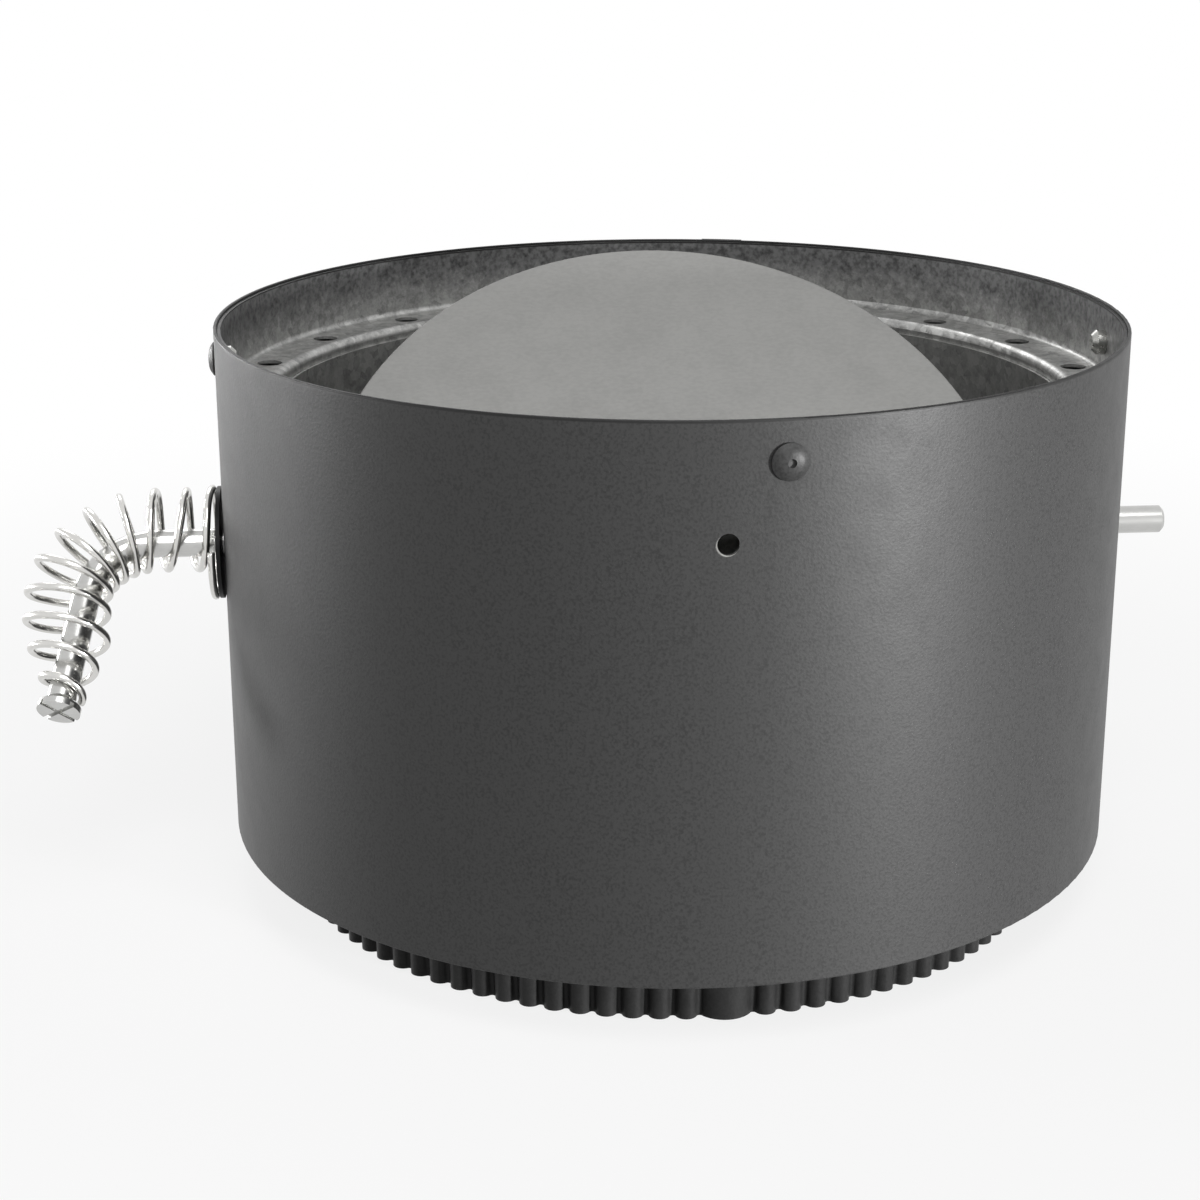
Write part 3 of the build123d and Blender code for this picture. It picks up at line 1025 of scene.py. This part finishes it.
@dataclass
class PhotoCamera:
    """The photograph's camera, fitted to the rim, the ring and the crimp.

    The distance is in shell radii from the middle of the rim, angles are in degrees, and the two aims are
    how far the view points right and up of that middle. Other lengths are in millimetres.
    """

    lens: float = 72.35
    sensor: float = 36.0
    nearest: float = 10.0
    shell_radius: float = SHELL_RADIUS
    rim_height: float = 70.7
    distance: float = 5.37568
    elevation: float = 11.149
    azimuth: float = -6.4
    aim_right: float = -0.02834
    aim_up: float = -0.11895
    roll: float = -0.1

    def build(self) -> bpy.types.Object:
        """Makes the camera and gives it to the scene.

        Returns:
            The camera's object.
        """
        rise = radians(self.elevation)
        place = Vector((0, -cos(rise), sin(rise))) * self.distance
        forward = Vector((
            self.aim_right,
            cos(rise) + self.aim_up * sin(rise),
            -sin(rise) + self.aim_up * cos(rise),
        ))
        forward.normalize()
        right = forward.cross(Vector((0, 0, 1))).normalized()
        up = right.cross(forward)
        turn = radians(self.roll)
        rolled_right = right * cos(turn) + up * sin(turn)
        rolled_up = up * cos(turn) - right * sin(turn)
        basis = Matrix((rolled_right, rolled_up, -forward)).transposed()
        swing = Matrix.Rotation(radians(self.azimuth), 3, "Z")
        data = bpy.data.cameras.new("photo_camera")
        data.lens = self.lens
        data.sensor_width = self.sensor
        data.sensor_fit = "HORIZONTAL"
        data.clip_start = self.nearest * MM
        camera = bpy.data.objects.new("photo_camera", data)
        scale = self.shell_radius * MM
        camera.matrix_world = Matrix.LocRotScale(
            swing @ place * scale + Vector((0, 0, self.rim_height * MM)),
            (swing @ basis).to_quaternion(),
            None,
        )
        bpy.context.scene.collection.objects.link(camera)
        bpy.context.scene.camera = camera
        return camera


@dataclass(frozen=True)
class SoftBox:
    """A square lamp that faces the object.

    Its turn, to the right from the front, and its rise are in degrees, its size and distance in metres.
    """

    name: str
    turn: float
    rise: float
    size: float
    watts: float
    distance: float = 1.3

    def build(self, target: Vector) -> bpy.types.Object:
        """Makes the lamp.

        Args:
            target: The point that it faces.

        Returns:
            The lamp's object.
        """
        data = bpy.data.lights.new(self.name, "AREA")
        data.shape = "SQUARE"
        data.size = self.size
        data.energy = self.watts
        turn = radians(self.turn)
        rise = radians(self.rise)
        away = Vector((sin(turn) * cos(rise), -cos(turn) * cos(rise), sin(rise)))
        lamp = bpy.data.objects.new(self.name, data)
        lamp.location = target + away * self.distance
        lamp.rotation_euler = away.to_track_quat("Z", "Y").to_euler()
        bpy.context.scene.collection.objects.link(lamp)
        return lamp


@dataclass
class Studio:
    """The pale floor, the white surroundings and the soft lamps. Lengths are in millimetres.

    The floor shadow is the share of the floor's look that the light decides. It is whole up to one
    distance and gone at another. The rest of the floor is white for what looks at it.
    """

    white: str = "#ffffff"
    floor_colour: str = "#cbcbcb"
    floor_height: float = -42.0
    floor_size: float = 12000.0
    floor_shadow: float = 0.17
    shadow_full_to: float = 120.0
    shadow_none_from: float = 420.0
    fill: float = 0.1
    aim_height: float = 20.0
    # The key draws the sheen down the shell's right. The top lamps light the disc and the bare sheet inside,
    # the low one the shell's front, and the edge lamps its left side and the coil.
    lamps: tuple[SoftBox, ...] = (
        SoftBox("key_right", turn=46.5, rise=0.3, size=0.14, watts=40.0),
        SoftBox("top_front", turn=8.0, rise=59.0, size=0.6, watts=9.6),
        SoftBox("low_front", turn=-14.0, rise=33.0, size=0.4, watts=4.2),
        SoftBox("top_rear_left", turn=-164.0, rise=34.0, size=0.5, watts=3.2),
        SoftBox("edge_left", turn=-104.0, rise=1.8, size=0.24, watts=14.0),
        SoftBox("edge_rear_left", turn=-134.0, rise=1.8, size=0.24, watts=7.5),
    )

    def seen_rays(self, tree: bpy.types.NodeTree) -> bpy.types.NodeSocket:
        """Finds the rays that should meet white: camera, glossy and transmission rays.

        Args:
            tree: The node tree of the floor or the world.

        Returns:
            A value socket, 1 for those rays and 0 for others.
        """
        path = add_node(tree, "ShaderNodeLightPath")
        first = add_node(
            tree,
            "ShaderNodeMath",
            links={0: path.outputs["Is Camera Ray"], 1: path.outputs["Is Glossy Ray"]},
            operation="MAXIMUM",
        )
        both = add_node(
            tree,
            "ShaderNodeMath",
            links={0: first.outputs["Value"], 1: path.outputs["Is Transmission Ray"]},
            operation="MAXIMUM",
        )
        return both.outputs["Value"]

    def surroundings(self) -> None:
        """White for what looks at it, and a plain soft fill for the light on the object."""
        world = bpy.data.worlds.new("white_studio")
        world.use_nodes = True
        tree = world.node_tree
        tree.nodes.clear()
        white = hex_colour(self.white)
        fill = add_node(tree, "ShaderNodeBackground", {"Color": white, "Strength": self.fill})
        shown = add_node(tree, "ShaderNodeBackground", {"Color": white, "Strength": 1.0})
        mixed = add_node(
            tree,
            "ShaderNodeMixShader",
            links={0: self.seen_rays(tree), 1: fill.outputs["Background"], 2: shown.outputs["Background"]},
        )
        add_node(tree, "ShaderNodeOutputWorld", links={"Surface": mixed.outputs["Shader"]})
        bpy.context.scene.world = world

    def floor(self) -> bpy.types.Object:
        """The pale floor, which keeps a soft shadow of the object that fades away from it.

        Returns:
            The floor's object.
        """
        material = bpy.data.materials.new("white floor")
        material.use_nodes = True
        tree = material.node_tree
        tree.nodes.clear()
        matte = add_node(tree, "ShaderNodeBsdfDiffuse", {"Color": hex_colour(self.floor_colour)})
        glow = add_node(tree, "ShaderNodeEmission", {"Color": hex_colour(self.white), "Strength": 1.0})
        place = add_node(tree, "ShaderNodeTexCoord").outputs["Object"]
        away = add_node(tree, "ShaderNodeVectorMath", links={0: place}, operation="LENGTH")
        plain = add_node(
            tree,
            "ShaderNodeMapRange",
            {
                "From Min": self.shadow_full_to * MM,
                "From Max": self.shadow_none_from * MM,
                "To Min": 1 - self.floor_shadow,
                "To Max": 1.0,
            },
            {"Value": away.outputs["Value"]},
            interpolation_type="SMOOTHSTEP",
        )
        share = add_node(
            tree,
            "ShaderNodeMath",
            links={0: self.seen_rays(tree), 1: plain.outputs["Result"]},
            operation="MULTIPLY",
        )
        mixed = add_node(
            tree,
            "ShaderNodeMixShader",
            links={0: share.outputs["Value"], 1: matte.outputs["BSDF"], 2: glow.outputs["Emission"]},
        )
        add_node(tree, "ShaderNodeOutputMaterial", links={"Surface": mixed.outputs["Shader"]})
        half = self.floor_size * MM / 2
        mesh = bpy.data.meshes.new("floor")
        corners = [(-half, -half, 0), (half, -half, 0), (half, half, 0), (-half, half, 0)]
        mesh.from_pydata(corners, [], [(0, 1, 2, 3)])
        mesh.materials.append(material)
        floor = bpy.data.objects.new("floor", mesh)
        floor.location.z = self.floor_height * MM
        bpy.context.scene.collection.objects.link(floor)
        return floor

    def build(self) -> None:
        """Makes the studio round the object."""
        self.surroundings()
        self.floor()
        target = Vector((0, 0, self.aim_height * MM))
        for lamp in self.lamps:
            lamp.build(target)
        bpy.context.scene.view_settings.view_transform = "Standard"


def main() -> None:
    """Builds the camera, the studio and the object's sub-assemblies, and reports each."""
    logging.basicConfig(level=logging.INFO, format="%(name)s: %(message)s")
    PhotoCamera().build()
    Studio().build()
    finishes = (
        SHELL_PAINT,
        RIVET_METAL,
        COLLAR_PAINT,
        ALUMINISED,
        RING_SHEET,
        DISC_STEEL,
        ZINC_PLATE,
        NICKEL_WIRE,
    )
    materials = {finish: finish.material() for finish in finishes}
    Casing().build(materials)
    Damper().build(materials)


if __name__ == "__main__":
    main()
